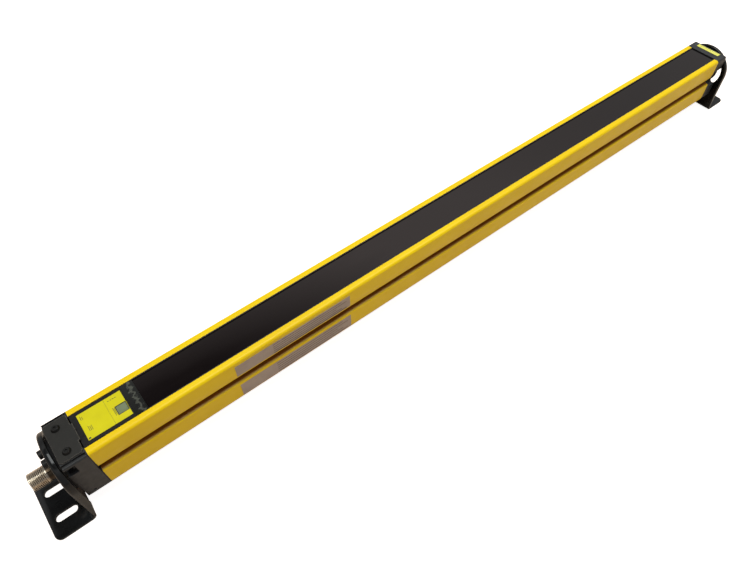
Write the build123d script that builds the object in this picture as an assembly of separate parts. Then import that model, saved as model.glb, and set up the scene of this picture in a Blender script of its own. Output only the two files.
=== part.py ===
from build123d import *
import os
from math import cos, radians, sin

# Safety light curtain: a long hollow housing with a dark window, lying on two swivel end brackets.
# X runs along the housing, from the connector end (-X) to the far end (+X). Z points out of the window.
# The origin lies under the middle of the housing, level with the brackets' feet. Sizes are in millimetres.

# Housing
HOUSING_LENGTH = 671.0
HOUSING_WIDTH = 36.0
HOUSING_DEPTH = 45.2
NEAR_CAP_LENGTH = 15.4
FAR_CAP_LENGTH = 13.4
AXIS_HEIGHT = 39.4
FACE_GAP = 0.05
FIT = 0.25
CUT = 1.0
SMALL_SIDES = 12
HEAD_SIDES = 24

# Section of the extrusion, with depths measured down from the rims. The shares are parts of the whole depth.
WALL = 2.0
OPENING_WIDTH = 25.9
RIM_CORNER = 2.3
RIM_LIP = 1.0
RIM_OVERHANG = 1.65
BAND_SHARE = 0.2655
LIP_STEP = 1.0
GROOVE_TOP_SHARE = 0.427
GROOVE_BOTTOM_SHARE = 0.5774
GROOVE_DEPTH = 7.0
GROOVE_FALL = 1.9
GROOVE_SLOPE = 0.08
FOOT_CORNER_HEIGHT = 5.2
FOOT_CORNER_WIDTH = 1.5
SHELF_REACH = 2.3
SHELF_THICKNESS = 1.6
PORT_WALL = 1.45
PORT_BORE_RADIUS = 1.7
PORT_SIDE_GAP = 0.7
PORT_FLOOR_GAP = 0.9

# Window and what lies in line with it
WINDOW_THICKNESS = 2.5
SEAL_HEIGHT = 1.5
SEAL_WIDTH = 1.4
COVER_LENGTH = 33.0
STATUS_LENGTH = 8.1
COVER_RAISE = 0.7
COVER_ROOF = 1.5
LABEL_THICKNESS = 0.2
LABEL_LENGTH = 28.2
LABEL_START = 4.0
LABEL_WIDTH = 20.0
DISPLAY_LENGTH = 7.1
DISPLAY_WIDTH = 6.8
DISPLAY_START = 24.9
DISPLAY_SHIFT = -2.2
DISPLAY_STEP = 0.8
STATUS_LAMP_LENGTH = 2.4
STATUS_LAMP_WIDTH = 1.8
STATUS_LAMP_PITCH = 3.2
STATUS_LAMPS = 7
STATUS_LAMP_HEIGHT = 0.35
STATUS_LAMP_TAPER = 20.0
STATUS_WALL = 1.2

# Optics and circuit board
BEAM_PITCH = 20.0
BEAM_SPARE = 1.0
OPTICS_START = 36.0
LENS_WIDTH = 17.0
LENS_THICKNESS = 1.6
LENS_LENGTH = 15.0
LENS_RISE = 1.2
LENS_TAPER = 40.0
CELL_LENGTH = 14.0
CELL_WIDTH = 12.0
OPTICS_WIDTH = 17.2
OPTICS_TOP = 10.2
OPTICS_EAR_WIDTH = 25.0
OPTICS_EAR_THICKNESS = 1.5
BOARD_PORT_GAP = 0.45
BOARD_THICKNESS = 1.6
BOARD_WIDTH = 30.6
LEDGE_WIDTH = 1.8
LEDGE_THICKNESS = 1.2
DIODE_SIZE = 5.0
DIODE_HEIGHT = 3.2
DIODE_TAPER = 12.0
DISPLAY_BOARD_TOP = 9.6
BOARD_END_GAP = 1.0
POST_RADIUS = 0.85
POST_SETBACK = 3.0
SWITCHES = 4
SWITCH_PITCH = 3.0
SWITCH_WIDTH = 6.0
SWITCH_HEIGHT = 2.6
LEVER_LENGTH = 1.4
LEVER_WIDTH = 1.2
LEVER_HEIGHT = 0.6

# End brackets
BRACKET_RADIUS = 24.0
BRACKET_OFFSET = 5.4
PLATE = 2.0
RIM_DEPTH_TOP = 3.5
RIM_DEPTH_SIDE = 4.9
RIM_CURVE_TOP = 44.0
RIM_CURVE_FOOT = 20.0
BEND_INNER = 2.0
FOOT_REACH = 24.7
FOOT_CORNER = 4.5
FOOT_SLOT_LENGTH = 14.7
FOOT_SLOT_WIDTH = 5.6
FOOT_SLOT_SPACING = 20.0
FOOT_SLOT_OFFSET = 13.0
EDGE_CHAMFER = 0.9
SLOT_RADIUS = 16.3
SLOT_WIDTH = 4.4
SLOT_HALF_ANGLE = 31.0
SPIGOT_RADIUS = 9.0
SEAT_RADIUS = 19.5
SEAT_HALF_WIDTH = 11.0
SPIGOT_FIT = 0.05

# Screws
CLAMP_SCREW_ANGLE = 13.0
CLAMP_SHANK_RADIUS = 1.75
CLAMP_HEAD_RADIUS = 2.85
CLAMP_HEAD_HEIGHT = 3.2
CLAMP_SCREW_LENGTH = 9.0
CLAMP_HEX = 2.8
HOLE_SPARE = 0.5
CAP_SHANK_RADIUS = 1.6
CAP_HEAD_RADIUS = 2.6
CAP_HEAD_HEIGHT = 1.9
CAP_SCREW_BITE = 12.0
CAP_HEAD_DEPTH = 6.3
CAP_HOLE_CLEARANCE = 0.1
GUARD_SCREW_RADIUS = 1.4
GUARD_HEAD_RADIUS = 2.7
GUARD_HEAD_HEIGHT = 1.5
GUARD_HEAD_TAPER = 28.0
GUARD_SCREW_LENGTH = 7.0
GUARD_SCREW_SPACING = 17.8
GUARD_SCREW_OFFSET = 8.7
GUARD_HEX = 2.0

# End caps
TONGUE_LENGTH = 4.0
TONGUE_WIDTH = 17.2
TONGUE_WALL = 2.0
GASKET_THICKNESS = 0.8
NOTCH_TOP = 2.5
NOTCH_BOTTOM = 11.0
FAR_NOTCH_ABOVE = 6.3
FAR_NOTCH_BELOW = 3.7
FAR_FLANGE = 2.4
CHIN_LENGTH = 6.0
CHIN_RISE = 2.0
FAR_LABEL_LENGTH = 5.0
FAR_LABEL_WIDTH = 24.0
FAR_LABEL_OFFSET = 1.6
SIDE_HOLE_OFFSET = 10.0
SIDE_HOLE_RISE = 5.8
SIDE_HOLE_RADIUS = 0.9
SIDE_HOLE_DEEP = 1.5

# Guard plate over the near cap
GUARD_WIDTH = 29.4
GUARD_SETBACK = 0.6
GUARD_THICKNESS = 1.0
GUARD_TAB_WIDTH = 13.0
GUARD_TAB_LENGTH = 1.2
GUARD_CORNER = 1.5
GUARD_CHAMFER = 0.3

# Connector
CONNECTOR_REACH = 16.2
CONNECTOR_RADIUS = 6.0
THREAD_LENGTH = 10.0
NECK_RADIUS = 5.6
CONNECTOR_BORE_RADIUS = 4.6
CONNECTOR_CHAMFER = 0.6
FLANGE_WALL = 1.0
CONNECTOR_FLANGE_RADIUS = 8.0
CONNECTOR_FLANGE_THICKNESS = 2.6
SEAL_RING_THICKNESS = 1.4
SEAL_RING_OUTER = 7.8
SEAL_RING_INNER = 6.4
INSERT_RECESS = 8.0
INSERT_TAIL = 2.0
KEY_WIDTH = 1.2
KEY_HEIGHT = 1.0
KEY_SINK = 0.2
PIN_TAIL = 1.5
PIN_FIT = 0.02
PIN_RADIUS = 0.4
PIN_REACH = 6.0
PIN_CIRCLE = 2.75
PINS = 8
RING_THICKNESS = 1.1
RING_WIDTH = 1.3
RING_GROOVE_RADIUS = 8.8
RING_GAP = 5.0
FLANGE_BORE_DEPTH = 7.0
LEAD_WIDTH = 8.0
LEAD_THICKNESS = 1.2
LEAD_REACH = 12.0
LEAD_BEND = 5.0
HEADER_LENGTH = 6.0
HEADER_WIDTH = 10.0
HEADER_HEIGHT = 5.0
HEADER_SETBACK = 14.0

# Side labels
SIDE_LABEL_START = 97.5
SIDE_LABEL_LENGTH = 93.5
UPPER_LABEL_TOP = 4.5
UPPER_LABEL_GAP = 2.3
LOWER_LABEL_GAP = 1.9
LOWER_LABEL_RISE = 3.2

# Places that follow from the sizes
HALF_WIDTH = HOUSING_WIDTH / 2
BAND_STRAIGHT = BAND_SHARE * HOUSING_DEPTH
GROOVE_TOP = GROOVE_TOP_SHARE * HOUSING_DEPTH
GROOVE_BOTTOM = GROOVE_BOTTOM_SHARE * HOUSING_DEPTH
NEAR_END = -HOUSING_LENGTH / 2
FAR_END = HOUSING_LENGTH / 2
TUBE_NEAR = NEAR_END + NEAR_CAP_LENGTH
TUBE_FAR = FAR_END - FAR_CAP_LENGTH
RIM_Z = AXIS_HEIGHT + HOUSING_DEPTH / 2
BASE_Z = AXIS_HEIGHT - HOUSING_DEPTH / 2
CHAMBER_HALF = HALF_WIDTH - WALL
WAIST_HALF = HALF_WIDTH - GROOVE_DEPTH - WALL
POCKET_HALF = OPENING_WIDTH / 2 + RIM_OVERHANG
SHELF_TOP = RIM_LIP + WINDOW_THICKNESS + SEAL_HEIGHT
UPPER_TOP = SHELF_TOP + SHELF_THICKNESS
UPPER_FLOOR = GROOVE_TOP - WALL
LOWER_TOP = GROOVE_BOTTOM + WALL
LOWER_FLOOR = HOUSING_DEPTH - WALL
PORT_Y = CHAMBER_HALF - PORT_BORE_RADIUS - PORT_SIDE_GAP
UPPER_PORT = UPPER_TOP + PORT_BORE_RADIUS
LOWER_PORT = LOWER_FLOOR - PORT_BORE_RADIUS - PORT_FLOOR_GAP
PORT_RADIUS = PORT_BORE_RADIUS + PORT_WALL
BOARD_TOP = LOWER_PORT - PORT_RADIUS - BOARD_PORT_GAP - BOARD_THICKNESS
PLATE_OUTER = FAR_END + BRACKET_OFFSET
PLATE_INNER = PLATE_OUTER - PLATE
STATUS_NEAR = TUBE_NEAR + COVER_LENGTH + FACE_GAP
WINDOW_NEAR = STATUS_NEAR + STATUS_LENGTH + FACE_GAP
WINDOW_FAR = TUBE_FAR
OPTICS_FAR = TUBE_FAR - TONGUE_LENGTH - FIT
BEAMS = int((OPTICS_FAR - TUBE_NEAR - OPTICS_START) / BEAM_PITCH)
OPTICS_LENGTH = BEAMS * BEAM_PITCH - BEAM_SPARE
OPTICS_NEAR = OPTICS_FAR - OPTICS_LENGTH
HEAD_SEAT = PLATE_OUTER + FACE_GAP
CONNECTOR_TIP = PLATE_OUTER + CONNECTOR_REACH
FLANGE_SEAT = FAR_END - FLANGE_WALL
FLANGE_OUTER = FLANGE_SEAT - SEAL_RING_THICKNESS
FLANGE_INNER = FLANGE_OUTER - CONNECTOR_FLANGE_THICKNESS
RING_OUTER = FLANGE_INNER - FACE_GAP
RING_INNER = RING_OUTER - RING_THICKNESS
HEADER_FAR = FAR_END - NEAR_CAP_LENGTH - TONGUE_LENGTH - HEADER_SETBACK
BLOCK_WIDTH = 2 * POCKET_HALF - 2 * FIT
RAISED_WIDTH = OPENING_WIDTH - 2 * FIT


def depth(value):
    """Height in the part's frame of a depth below the rims."""
    return RIM_Z - value


def section_box(half_width, top, bottom):
    """A rectangle across the section, centred on its middle, between two depths."""
    middle = (depth(top) + depth(bottom)) / 2
    return Plane.YZ * Pos(0, middle) * Rectangle(2 * half_width, bottom - top)


def along(sketch, start, end):
    """A section carried along X from one place to another."""
    return extrude(Pos(start, 0, 0) * sketch, end - start)


def block(x_start, x_end, width, top, bottom, shift=0.0):
    """A plain bar between two places along X and two depths."""
    return Pos(0, shift, 0) * along(section_box(width / 2, top, bottom), x_start, x_end)


def rod(x_start, x_end, radius, y=0.0, z=AXIS_HEIGHT):
    """A round bar along X."""
    return along(Plane.YZ * Pos(y, z) * Circle(radius), x_start, x_end)


def outline(grooved):
    """The housing's outer section: bowed side bands, and a groove between them where it is grooved."""
    with BuildLine() as half:
        top = Line((0, RIM_Z), (HALF_WIDTH - RIM_CORNER, RIM_Z))
        corner = TangentArc(top @ 1, (HALF_WIDTH, RIM_Z - RIM_CORNER), tangent=top % 1)
        if grooved:
            band = Line(corner @ 1, (HALF_WIDTH, depth(BAND_STRAIGHT)))
            lip = TangentArc(band @ 1, (HALF_WIDTH - LIP_STEP, depth(GROOVE_TOP)), tangent=band % 1)
            back = HALF_WIDTH - GROOVE_DEPTH
            sill = depth(GROOVE_BOTTOM)
            roof = Line(lip @ 1, (back, depth(GROOVE_TOP)))
            wall = Line(roof @ 1, (back, sill + GROOVE_FALL))
            slope = TangentArc(wall @ 1, (HALF_WIDTH, sill), tangent=(1, -GROOVE_SLOPE))
            side_start = slope @ 1
        else:
            side_start = corner @ 1
        side = Line(side_start, (HALF_WIDTH, BASE_Z + FOOT_CORNER_HEIGHT))
        foot = TangentArc(side @ 1, (HALF_WIDTH - FOOT_CORNER_WIDTH, BASE_Z), tangent=side % 1)
        Line(foot @ 1, (0, BASE_Z))
        mirror(about=Plane.YZ)
    return Plane.YZ * make_face(half.edges())


def small_rod(x_start, x_end, radius, y=0.0, z=AXIS_HEIGHT, sides=SMALL_SIDES):
    """A small round bar or hole along X, drawn with few sides because it repeats."""
    return along(Plane.YZ * Pos(y, z) * RegularPolygon(radius, sides), x_start, x_end)


def port_places():
    """Screw port centres in the section, as (Y, Z)."""
    return [(side * PORT_Y, depth(level)) for level in (UPPER_PORT, LOWER_PORT) for side in (-1, 1)]


def hollow():
    """The inside of the extrusion: the window channel, two chambers and the waist between the grooves."""
    inside = section_box(OPENING_WIDTH / 2, -CUT, RIM_LIP + FIT)
    inside += section_box(POCKET_HALF, RIM_LIP, SHELF_TOP)
    inside += section_box(POCKET_HALF - SHELF_REACH, RIM_LIP, UPPER_TOP + FIT)
    inside += section_box(CHAMBER_HALF, UPPER_TOP, UPPER_FLOOR)
    inside += section_box(WAIST_HALF, UPPER_FLOOR - FIT, LOWER_TOP + FIT)
    inside += section_box(CHAMBER_HALF, LOWER_TOP, LOWER_FLOOR)
    for y, z in port_places():
        inside -= Plane.YZ * Pos(y, z) * Circle(PORT_RADIUS)
    ledge_top = BOARD_TOP + BOARD_THICKNESS
    for side in (-1, 1):
        ledge = section_box(LEDGE_WIDTH / 2, ledge_top, ledge_top + LEDGE_THICKNESS)
        inside -= Pos(0, side * (CHAMBER_HALF - LEDGE_WIDTH / 2), 0) * ledge
    return inside


def housing_extrusion():
    """One aluminium extrusion, open along its face for the window, with screw ports in its corners."""
    section = outline(grooved=True) - hollow()
    for y, z in port_places():
        section -= Plane.YZ * Pos(y, z) * RegularPolygon(PORT_BORE_RADIUS, SMALL_SIDES)
    return along(section, TUBE_NEAR, TUBE_FAR)


def window():
    """The dark window strip, held under the two rims."""
    return block(WINDOW_NEAR, WINDOW_FAR, BLOCK_WIDTH, RIM_LIP, RIM_LIP + WINDOW_THICKNESS)


def window_seals():
    """Two sealing strips between the window's edges and the shelves."""
    strip = block(WINDOW_NEAR, WINDOW_FAR, SEAL_WIDTH, RIM_LIP + WINDOW_THICKNESS, SHELF_TOP)
    offset = POCKET_HALF - FIT - SEAL_WIDTH / 2
    return [Pos(0, side * offset, 0) * strip for side in (-1, 1)]


def raised_bar(start, end):
    """A moulded bar that lies under the rims and rises between them, nearly level with their tops."""
    bar = block(start, end, BLOCK_WIDTH, RIM_LIP, SHELF_TOP)
    return bar + block(start, end, RAISED_WIDTH, RIM_LIP - COVER_RAISE, RIM_LIP)


def display_box(extra, top, bottom):
    """The place of the display in the cover, grown by a clearance all round."""
    start = TUBE_NEAR + DISPLAY_START
    width = DISPLAY_WIDTH + 2 * extra
    return block(start - extra, start + DISPLAY_LENGTH + extra, width, top, bottom, DISPLAY_SHIFT)


def access_cover():
    """The moulded cover over the switches, with a window for the display."""
    cover = raised_bar(TUBE_NEAR, TUBE_NEAR + COVER_LENGTH)
    hollow_end = TUBE_NEAR + COVER_LENGTH - WALL
    roof = RIM_LIP + COVER_ROOF
    cover -= block(TUBE_NEAR + WALL, hollow_end, RAISED_WIDTH - 2 * WALL, roof, SHELF_TOP + CUT)
    return cover - display_box(FACE_GAP, -CUT, SHELF_TOP + CUT)


def face_label():
    """The label on the access cover, cut out round the display."""
    top = RIM_LIP - COVER_RAISE
    start = TUBE_NEAR + LABEL_START
    label = block(start, start + LABEL_LENGTH, LABEL_WIDTH, top - LABEL_THICKNESS, top)
    return label - display_box(FACE_GAP, -CUT, SHELF_TOP)


def display_window():
    """The clear display pane, standing on the display board."""
    roof = RIM_LIP + COVER_ROOF
    pane = display_box(0.0, RIM_LIP - COVER_RAISE, roof)
    return pane + display_box(-DISPLAY_STEP, roof, DISPLAY_BOARD_TOP)


def status_block():
    """The moulded block between the label and the window, with a row of low lamps on it."""
    end = STATUS_NEAR + STATUS_LENGTH
    bar = raised_bar(STATUS_NEAR, end)
    width = RAISED_WIDTH - 2 * WALL
    roof = RIM_LIP + COVER_ROOF
    return bar - block(STATUS_NEAR + STATUS_WALL, end - STATUS_WALL, width, roof, SHELF_TOP + CUT)


def status_lamps():
    """The row of small status lamps standing on the status block."""
    top = depth(RIM_LIP - COVER_RAISE)
    x = STATUS_NEAR + STATUS_LENGTH / 2
    face = Rectangle(STATUS_LAMP_LENGTH, STATUS_LAMP_WIDTH)
    lamp = extrude(face, STATUS_LAMP_HEIGHT, taper=STATUS_LAMP_TAPER)
    places = [(index - (STATUS_LAMPS - 1) / 2) * STATUS_LAMP_PITCH for index in range(STATUS_LAMPS)]
    return [Pos(x, y, top) * lamp for y in places]


def display_board():
    """The small board under the access cover that carries the display, hung below the shelves."""
    start = TUBE_NEAR + TONGUE_LENGTH + BOARD_END_GAP
    end = OPTICS_NEAR - BOARD_END_GAP
    width = 2 * (PORT_Y - PORT_RADIUS - FIT)
    return block(start, end, width, DISPLAY_BOARD_TOP, DISPLAY_BOARD_TOP + BOARD_THICKNESS)


def display_posts():
    """Four hexagon spacers that carry the display board on the floor of the upper chamber."""
    bottom = depth(UPPER_FLOOR)
    height = UPPER_FLOOR - DISPLAY_BOARD_TOP - BOARD_THICKNESS
    post = extrude(RegularPolygon(POST_RADIUS, 6), height)
    y = WAIST_HALF + POST_RADIUS
    places = (TUBE_NEAR + TONGUE_LENGTH + POST_SETBACK, OPTICS_NEAR - POST_SETBACK)
    return [Pos(x, side * y, bottom) * post for x in places for side in (-1, 1)]


def switch_bank():
    """The block of setting switches on the display board, with its row of levers."""
    start = TUBE_NEAR + TONGUE_LENGTH + POST_SETBACK
    top = DISPLAY_BOARD_TOP - SWITCH_HEIGHT
    bank = block(start, start + SWITCHES * SWITCH_PITCH, SWITCH_WIDTH, top, DISPLAY_BOARD_TOP)
    for index in range(SWITCHES):
        x = start + (index + 0.5) * SWITCH_PITCH
        bank += block(x - LEVER_WIDTH / 2, x + LEVER_WIDTH / 2, LEVER_LENGTH, top - LEVER_HEIGHT, top)
    return bank


def beam_places():
    """X of each beam along the optics block."""
    middle = (OPTICS_NEAR + OPTICS_FAR) / 2
    return [middle + (index - (BEAMS - 1) / 2) * BEAM_PITCH for index in range(BEAMS)]


def optics_block():
    """The black moulding that keeps each beam in its own cell, hung on the chamber's floor by its ears."""
    bar = block(OPTICS_NEAR, OPTICS_FAR, OPTICS_WIDTH, OPTICS_TOP, BOARD_TOP - FIT)
    bar += block(OPTICS_NEAR, OPTICS_FAR, OPTICS_EAR_WIDTH, UPPER_FLOOR - OPTICS_EAR_THICKNESS, UPPER_FLOOR)
    cell = block(-CELL_LENGTH / 2, CELL_LENGTH / 2, CELL_WIDTH, OPTICS_TOP - CUT, BOARD_TOP + CUT)
    return bar - [Pos(x, 0, 0) * cell for x in beam_places()]


def lens_array():
    """The clear lens strip on the optics block, with one raised square lens for each beam."""
    strip = block(OPTICS_NEAR, OPTICS_FAR, LENS_WIDTH, OPTICS_TOP - LENS_THICKNESS, OPTICS_TOP)
    top = depth(OPTICS_TOP - LENS_THICKNESS)
    lens = Pos(0, 0, top) * extrude(Rectangle(LENS_LENGTH, CELL_WIDTH), LENS_RISE, taper=LENS_TAPER)
    return strip + [Pos(x, 0, 0) * lens for x in beam_places()]


def circuit_board():
    """The long main board, lying on the ledges of the lower chamber."""
    start = TUBE_NEAR + TONGUE_LENGTH + BOARD_END_GAP
    end = TUBE_FAR - TONGUE_LENGTH - BOARD_END_GAP
    return block(start, end, BOARD_WIDTH, BOARD_TOP, BOARD_TOP + BOARD_THICKNESS)


def beam_diodes():
    """One square infrared diode for each beam, standing on the main board in its cell."""
    body = extrude(Rectangle(DIODE_SIZE, DIODE_SIZE), DIODE_HEIGHT, taper=DIODE_TAPER)
    body = Pos(0, 0, depth(BOARD_TOP)) * body
    return [Pos(x, 0, 0) * body for x in beam_places()]


def gasket():
    """A die-cut gasket on the extrusion's outer walls, for the far end. The cap screws pass inside it."""
    section = outline(grooved=True) - section_box(CHAMBER_HALF, UPPER_TOP, UPPER_FLOOR)
    section -= section_box(POCKET_HALF - SHELF_REACH, -CUT, UPPER_TOP + FIT)
    section -= section_box(WAIST_HALF, UPPER_FLOOR - FIT, LOWER_TOP + FIT)
    section -= section_box(CHAMBER_HALF, LOWER_TOP, LOWER_FLOOR)
    return along(section, TUBE_FAR, TUBE_FAR + GASKET_THICKNESS)


def seat():
    """The raised seat that a bracket turns on: a disc with two flat sides, and a round spigot."""
    pad = Plane.YZ * Pos(0, AXIS_HEIGHT) * Circle(SEAT_RADIUS)
    pad = pad & (Plane.YZ * Pos(0, AXIS_HEIGHT) * Rectangle(2 * SEAT_HALF_WIDTH, 3 * SEAT_RADIUS))
    body = along(pad, FAR_END, PLATE_INNER - FACE_GAP)
    return body + rod(FAR_END, PLATE_OUTER + FACE_GAP, SPIGOT_RADIUS - SPIGOT_FIT)


def clamp_places():
    """Where the clamp screws stand on the slot circle, as (Y, Z): two in the top slot and two below."""
    angles = [turn + side * CLAMP_SCREW_ANGLE for turn in (90, 270) for side in (-1, 1)]
    return [(SLOT_RADIUS * cos(radians(a)), AXIS_HEIGHT + SLOT_RADIUS * sin(radians(a))) for a in angles]


def clamp_holes():
    """Threaded holes for the clamp screws."""
    bottom = HEAD_SEAT - CLAMP_SCREW_LENGTH - HOLE_SPARE
    radius = CLAMP_SHANK_RADIUS + FACE_GAP
    return [small_rod(bottom, PLATE_OUTER, radius, y, z) for y, z in clamp_places()]


def cap_screw_holes(length):
    """Clearance holes of the four cap screws, and pockets for their heads."""
    holes = []
    for y, z in port_places():
        radius = CAP_SHANK_RADIUS + CAP_HOLE_CLEARANCE
        holes.append(small_rod(FAR_END - length - CUT, FAR_END + CUT, radius, y, z))
        holes.append(small_rod(FAR_END - CAP_HEAD_DEPTH, FAR_END + CUT, CAP_HEAD_RADIUS + FIT, y, z))
    return holes


def side_notches(length, inner, top, bottom):
    """Two cut-outs, one in each side of a cap, open to its end."""
    width = HALF_WIDTH + CUT - inner
    middle = inner + width / 2
    return [block(FAR_END - length, FAR_END + CUT, width, top, bottom, side * middle) for side in (-1, 1)]


def cap_blank(length, grooved):
    """What both end caps share: the section, a sloped chin, the bracket's seat, a tongue and holes."""
    face = FAR_END - length + GASKET_THICKNESS
    body = along(outline(grooved), face, FAR_END)
    chin = Plane.XZ * make_face(Polyline(
        (FAR_END - CHIN_LENGTH, BASE_Z), (FAR_END, BASE_Z + CHIN_RISE), (FAR_END + CUT, BASE_Z + CHIN_RISE),
        (FAR_END + CUT, BASE_Z - CUT), (FAR_END - CHIN_LENGTH, BASE_Z - CUT), close=True))
    body -= extrude(chin, HOUSING_WIDTH, both=True)
    body += seat()
    tongue_end = FAR_END - length - TONGUE_LENGTH
    bottom = LOWER_FLOOR - FIT
    body += block(tongue_end, face, TONGUE_WIDTH, OPTICS_TOP, bottom)
    inside = TONGUE_WIDTH - 2 * TONGUE_WALL
    body -= block(tongue_end - CUT, face, inside, OPTICS_TOP + TONGUE_WALL, bottom - TONGUE_WALL)
    return body - clamp_holes() - cap_screw_holes(length)


def far_end_cap():
    """The plain end cap, with deep side notches in line with the grooves and a recess for its label."""
    cap = cap_blank(FAR_CAP_LENGTH, grooved=True)
    notch = FAR_CAP_LENGTH - FAR_FLANGE
    top = GROOVE_TOP - FAR_NOTCH_ABOVE
    cap -= side_notches(notch, SEAT_HALF_WIDTH, top, GROOVE_BOTTOM + FAR_NOTCH_BELOW)
    label_end = FAR_END - FAR_LABEL_OFFSET
    return cap - block(label_end - FAR_LABEL_LENGTH, label_end, FAR_LABEL_WIDTH, -CUT, LABEL_THICKNESS / 2)


def far_cap_label():
    """The small strip label let into the top of the far end cap."""
    end = FAR_END - FAR_LABEL_OFFSET - FIT
    start = end - FAR_LABEL_LENGTH + 2 * FIT
    return block(start, end, FAR_LABEL_WIDTH - 2 * FIT, -LABEL_THICKNESS / 2, LABEL_THICKNESS / 2)


def guard_screw_places():
    """Where the two guard plate screws stand, as (X, Y)."""
    x = FAR_END - NEAR_CAP_LENGTH + GUARD_SCREW_OFFSET
    return [(x, side * GUARD_SCREW_SPACING / 2) for side in (-1, 1)]


def near_end_cap():
    """The cap with the connector's bore, side notches at the upper screws and holes for the guard plate."""
    cap = cap_blank(NEAR_CAP_LENGTH, grooved=False)
    cap -= side_notches(CAP_HEAD_DEPTH, PORT_Y - CAP_HEAD_RADIUS - FIT, NOTCH_TOP, NOTCH_BOTTOM)
    cap -= rod(FLANGE_SEAT - CUT, PLATE_OUTER + CUT, CONNECTOR_RADIUS + SPIGOT_FIT)
    cap -= rod(FLANGE_SEAT - FLANGE_BORE_DEPTH, FLANGE_SEAT, CONNECTOR_FLANGE_RADIUS + SPIGOT_FIT)
    cap -= rod(RING_INNER, RING_OUTER, RING_GROOVE_RADIUS)
    inside = TONGUE_WIDTH - 2 * TONGUE_WALL
    start = FAR_END - NEAR_CAP_LENGTH
    bottom = LOWER_FLOOR - FIT - TONGUE_WALL
    end = FLANGE_SEAT - FLANGE_BORE_DEPTH + FACE_GAP
    cap -= block(start, end, inside, OPTICS_TOP + TONGUE_WALL, bottom)
    bore = extrude(RegularPolygon(GUARD_SCREW_RADIUS + FACE_GAP, SMALL_SIDES), GUARD_SCREW_LENGTH + CUT)
    for x, y in guard_screw_places():
        cap -= Pos(x, y, RIM_Z - GUARD_SCREW_LENGTH) * bore
    hole = Plane.XZ * Pos(start + SIDE_HOLE_OFFSET, BASE_Z + SIDE_HOLE_RISE) * Circle(SIDE_HOLE_RADIUS)
    return cap - Pos(0, -HALF_WIDTH, 0) * extrude(hole, SIDE_HOLE_DEEP, both=True)


def guard_plate():
    """The flat steel plate screwed over the near cap, with a tongue that holds the access cover down."""
    start = FAR_END - NEAR_CAP_LENGTH + GUARD_SETBACK
    middle = (start + FAR_END) / 2
    sheet = Pos(middle, 0) * chamfer(Rectangle(FAR_END - start, GUARD_WIDTH).vertices(), GUARD_CORNER)
    tab = Pos(start, 0) * Rectangle(2 * GUARD_TAB_LENGTH, GUARD_TAB_WIDTH)
    plate = Pos(0, 0, RIM_Z) * extrude(sheet + tab, GUARD_THICKNESS)
    hole = RegularPolygon(GUARD_SCREW_RADIUS + FIT, SMALL_SIDES)
    for x, y in guard_screw_places():
        plate -= Pos(x, y, RIM_Z) * extrude(hole, 2 * GUARD_THICKNESS)
    return chamfer(plate.faces().sort_by(Axis.Z)[-1].outer_wire().edges(), GUARD_CHAMFER)


def guard_screws():
    """Two low screws with tapered heads and hexagon sockets."""
    screws = []
    for x, y in guard_screw_places():
        face = RegularPolygon(GUARD_HEAD_RADIUS, HEAD_SIDES)
        head = extrude(face, GUARD_HEAD_HEIGHT, taper=GUARD_HEAD_TAPER)
        socket = extrude(RegularPolygon(GUARD_HEX / 2, 6), GUARD_HEAD_HEIGHT)
        head -= Pos(0, 0, GUARD_HEAD_HEIGHT / 2) * socket
        length = GUARD_SCREW_LENGTH - HOLE_SPARE
        shank = Pos(0, 0, -length) * extrude(RegularPolygon(GUARD_SCREW_RADIUS, SMALL_SIDES), length)
        screws.append(Pos(x, y, RIM_Z + GUARD_THICKNESS) * (head + shank))
    return screws


def cap_screws(length):
    """Four hexagon-headed screws that hold an end cap on the extrusion's ports."""
    seat_x = FAR_END - CAP_HEAD_DEPTH
    tip = seat_x - (length - CAP_HEAD_DEPTH + CAP_SCREW_BITE)
    screws = []
    for y, z in port_places():
        head = small_rod(seat_x, seat_x + CAP_HEAD_HEIGHT, CAP_HEAD_RADIUS, y, z, sides=6)
        screws.append(head + small_rod(tip, seat_x, CAP_SHANK_RADIUS, y, z))
    return screws


def clamp_screws():
    """Four socket screws that clamp a bracket against its seat."""
    tip = HEAD_SEAT - CLAMP_SCREW_LENGTH
    top = HEAD_SEAT + CLAMP_HEAD_HEIGHT
    screws = []
    for y, z in clamp_places():
        head = small_rod(HEAD_SEAT, top, CLAMP_HEAD_RADIUS, y, z, sides=HEAD_SIDES)
        shank = small_rod(tip, HEAD_SEAT, CLAMP_SHANK_RADIUS, y, z)
        socket = small_rod(top - CLAMP_HEAD_HEIGHT / 2, top + CUT, CLAMP_HEX / 2, y, z, sides=6)
        screws.append(head + shank - socket)
    return screws


def arch(inset, bottom):
    """The bracket's face: straight sides under a half circle about the housing's axis."""
    radius = BRACKET_RADIUS - inset
    with BuildLine() as line:
        left = Line((-radius, bottom), (-radius, AXIS_HEIGHT))
        top = ThreePointArc(left @ 1, (0, AXIS_HEIGHT + radius), (radius, AXIS_HEIGHT))
        right = Line(top @ 1, (radius, bottom))
        Line(right @ 1, (-radius, bottom))
    return Plane.YZ * make_face(line.edges())


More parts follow.
